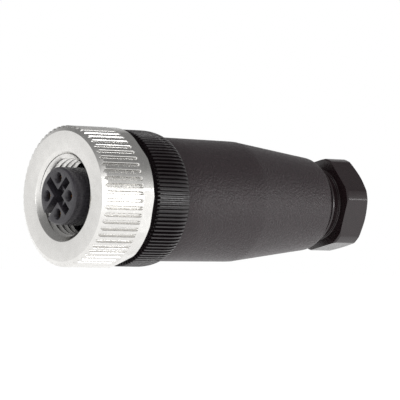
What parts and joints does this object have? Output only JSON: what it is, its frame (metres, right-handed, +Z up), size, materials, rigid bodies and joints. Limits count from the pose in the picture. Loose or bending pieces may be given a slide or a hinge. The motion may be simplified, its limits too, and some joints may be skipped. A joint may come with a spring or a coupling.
{
  "type": "m12 connector",
  "caption": "Straight female round cable connector with a knurled metal coupling nut, keyed insert with contact sockets, tapered grip housing and hexagonal cable gland.",
  "frame": {"origin": "centre of the insert's mating face, on the connector's axis", "axes": "+X along the axis from the mating face to the cable end, +Z up, the contacts on -Y, +Z, +Y and -Z"},
  "size_m": [0.0527, 0.02, 0.02],
  "materials": {
    "nickel_plate": "satin nickel plating on brass",
    "insert_plastic": "smooth moulded",
    "collar_plastic": "smooth moulded",
    "housing_plastic": "fine spark-eroded texture",
    "gland_plastic": "half-matt moulded",
    "natural_plastic": "smooth moulded",
    "rubber": "matt",
    "contact_gold": "gold plated",
    "plain_steel": "zinc plated"
  },
  "bodies": {
    "insert_and_collar": {"contact_carrier": "insert_plastic", "terminal_block": "insert_plastic", "front_seal": "rubber", "nut_friction_ring": "natural_plastic", "carrier_ring": "collar_plastic", "socket_contact_1": "contact_gold", "socket_contact_2": "contact_gold", "socket_contact_3": "contact_gold", "socket_contact_4": "contact_gold"},
    "coupling_nut": {"coupling_nut": "nickel_plate"},
    "wire_plate_1": {"wire_plate_1": "plain_steel"},
    "terminal_screw_1": {"terminal_screw_1": "plain_steel"},
    "wire_plate_2": {"wire_plate_2": "plain_steel"},
    "terminal_screw_2": {"terminal_screw_2": "plain_steel"},
    "wire_plate_3": {"wire_plate_3": "plain_steel"},
    "terminal_screw_3": {"terminal_screw_3": "plain_steel"},
    "wire_plate_4": {"wire_plate_4": "plain_steel"},
    "terminal_screw_4": {"terminal_screw_4": "plain_steel"},
    "housing_seal": {"housing_seal": "rubber"},
    "housing": {"housing": "housing_plastic", "gland_seal": "rubber", "clamp_cage": "natural_plastic"},
    "thrust_washer": {"thrust_washer": "plain_steel"},
    "gland_nut": {"gland_nut": "gland_plastic"}
  },
  "joints": [
    {"name": "coupling_nut_turn", "type": "hinge", "parent": "insert_and_collar", "child": "coupling_nut", "pos_m": [0, 0, 0], "axis": [1, 0, 0], "continuous": true},
    {"name": "wire_plate_1_travel", "type": "slide", "parent": "insert_and_collar", "child": "wire_plate_1", "axis": [0, -1, 0], "range_m": [0, 0.001]},
    {"name": "terminal_screw_1_turn", "type": "hinge", "parent": "wire_plate_1", "child": "terminal_screw_1", "pos_m": [0.02556, 0, 0], "axis": [0, -1, 0], "range_deg": [0, 1030]},
    {"name": "wire_plate_2_travel", "type": "slide", "parent": "insert_and_collar", "child": "wire_plate_2", "axis": [0, 0, 1], "range_m": [0, 0.001]},
    {"name": "terminal_screw_2_turn", "type": "hinge", "parent": "wire_plate_2", "child": "terminal_screw_2", "pos_m": [0.02556, 0, 0], "axis": [0, 0, 1], "range_deg": [0, 1030]},
    {"name": "wire_plate_3_travel", "type": "slide", "parent": "insert_and_collar", "child": "wire_plate_3", "axis": [0, 1, 0], "range_m": [0, 0.001]},
    {"name": "terminal_screw_3_turn", "type": "hinge", "parent": "wire_plate_3", "child": "terminal_screw_3", "pos_m": [0.02556, 0, 0], "axis": [0, 1, 0], "range_deg": [0, 1030]},
    {"name": "wire_plate_4_travel", "type": "slide", "parent": "insert_and_collar", "child": "wire_plate_4", "axis": [0, 0, -1], "range_m": [0, 0.001]},
    {"name": "terminal_screw_4_turn", "type": "hinge", "parent": "wire_plate_4", "child": "terminal_screw_4", "pos_m": [0.02556, 0, 0], "axis": [0, 0, -1], "range_deg": [0, 1030]},
    {"name": "housing_travel", "type": "slide", "parent": "insert_and_collar", "child": "housing_seal", "axis": [1, 0, 0], "range_m": [0, 0.005]},
    {"name": "housing_turn", "type": "hinge", "parent": "housing_seal", "child": "housing", "pos_m": [0, 0, 0], "axis": [1, 0, 0], "range_deg": [0, 1801]},
    {"name": "gland_nut_travel", "type": "slide", "parent": "housing", "child": "thrust_washer", "axis": [1, 0, 0], "range_m": [0, 0.0045]},
    {"name": "gland_nut_turn", "type": "hinge", "parent": "thrust_washer", "child": "gland_nut", "pos_m": [0, 0, 0], "axis": [1, 0, 0], "range_deg": [0, 1297]}
  ],
  "couplings": [
    {"joint": "terminal_screw_1_turn", "follows": "wire_plate_1_travel", "rad_per_m": 17952},
    {"joint": "terminal_screw_2_turn", "follows": "wire_plate_2_travel", "rad_per_m": 17952},
    {"joint": "terminal_screw_3_turn", "follows": "wire_plate_3_travel", "rad_per_m": 17952},
    {"joint": "terminal_screw_4_turn", "follows": "wire_plate_4_travel", "rad_per_m": 17952},
    {"joint": "housing_turn", "follows": "housing_travel", "rad_per_m": 6283.2},
    {"joint": "gland_nut_turn", "follows": "gland_nut_travel", "rad_per_m": 5026.5}
  ]
}
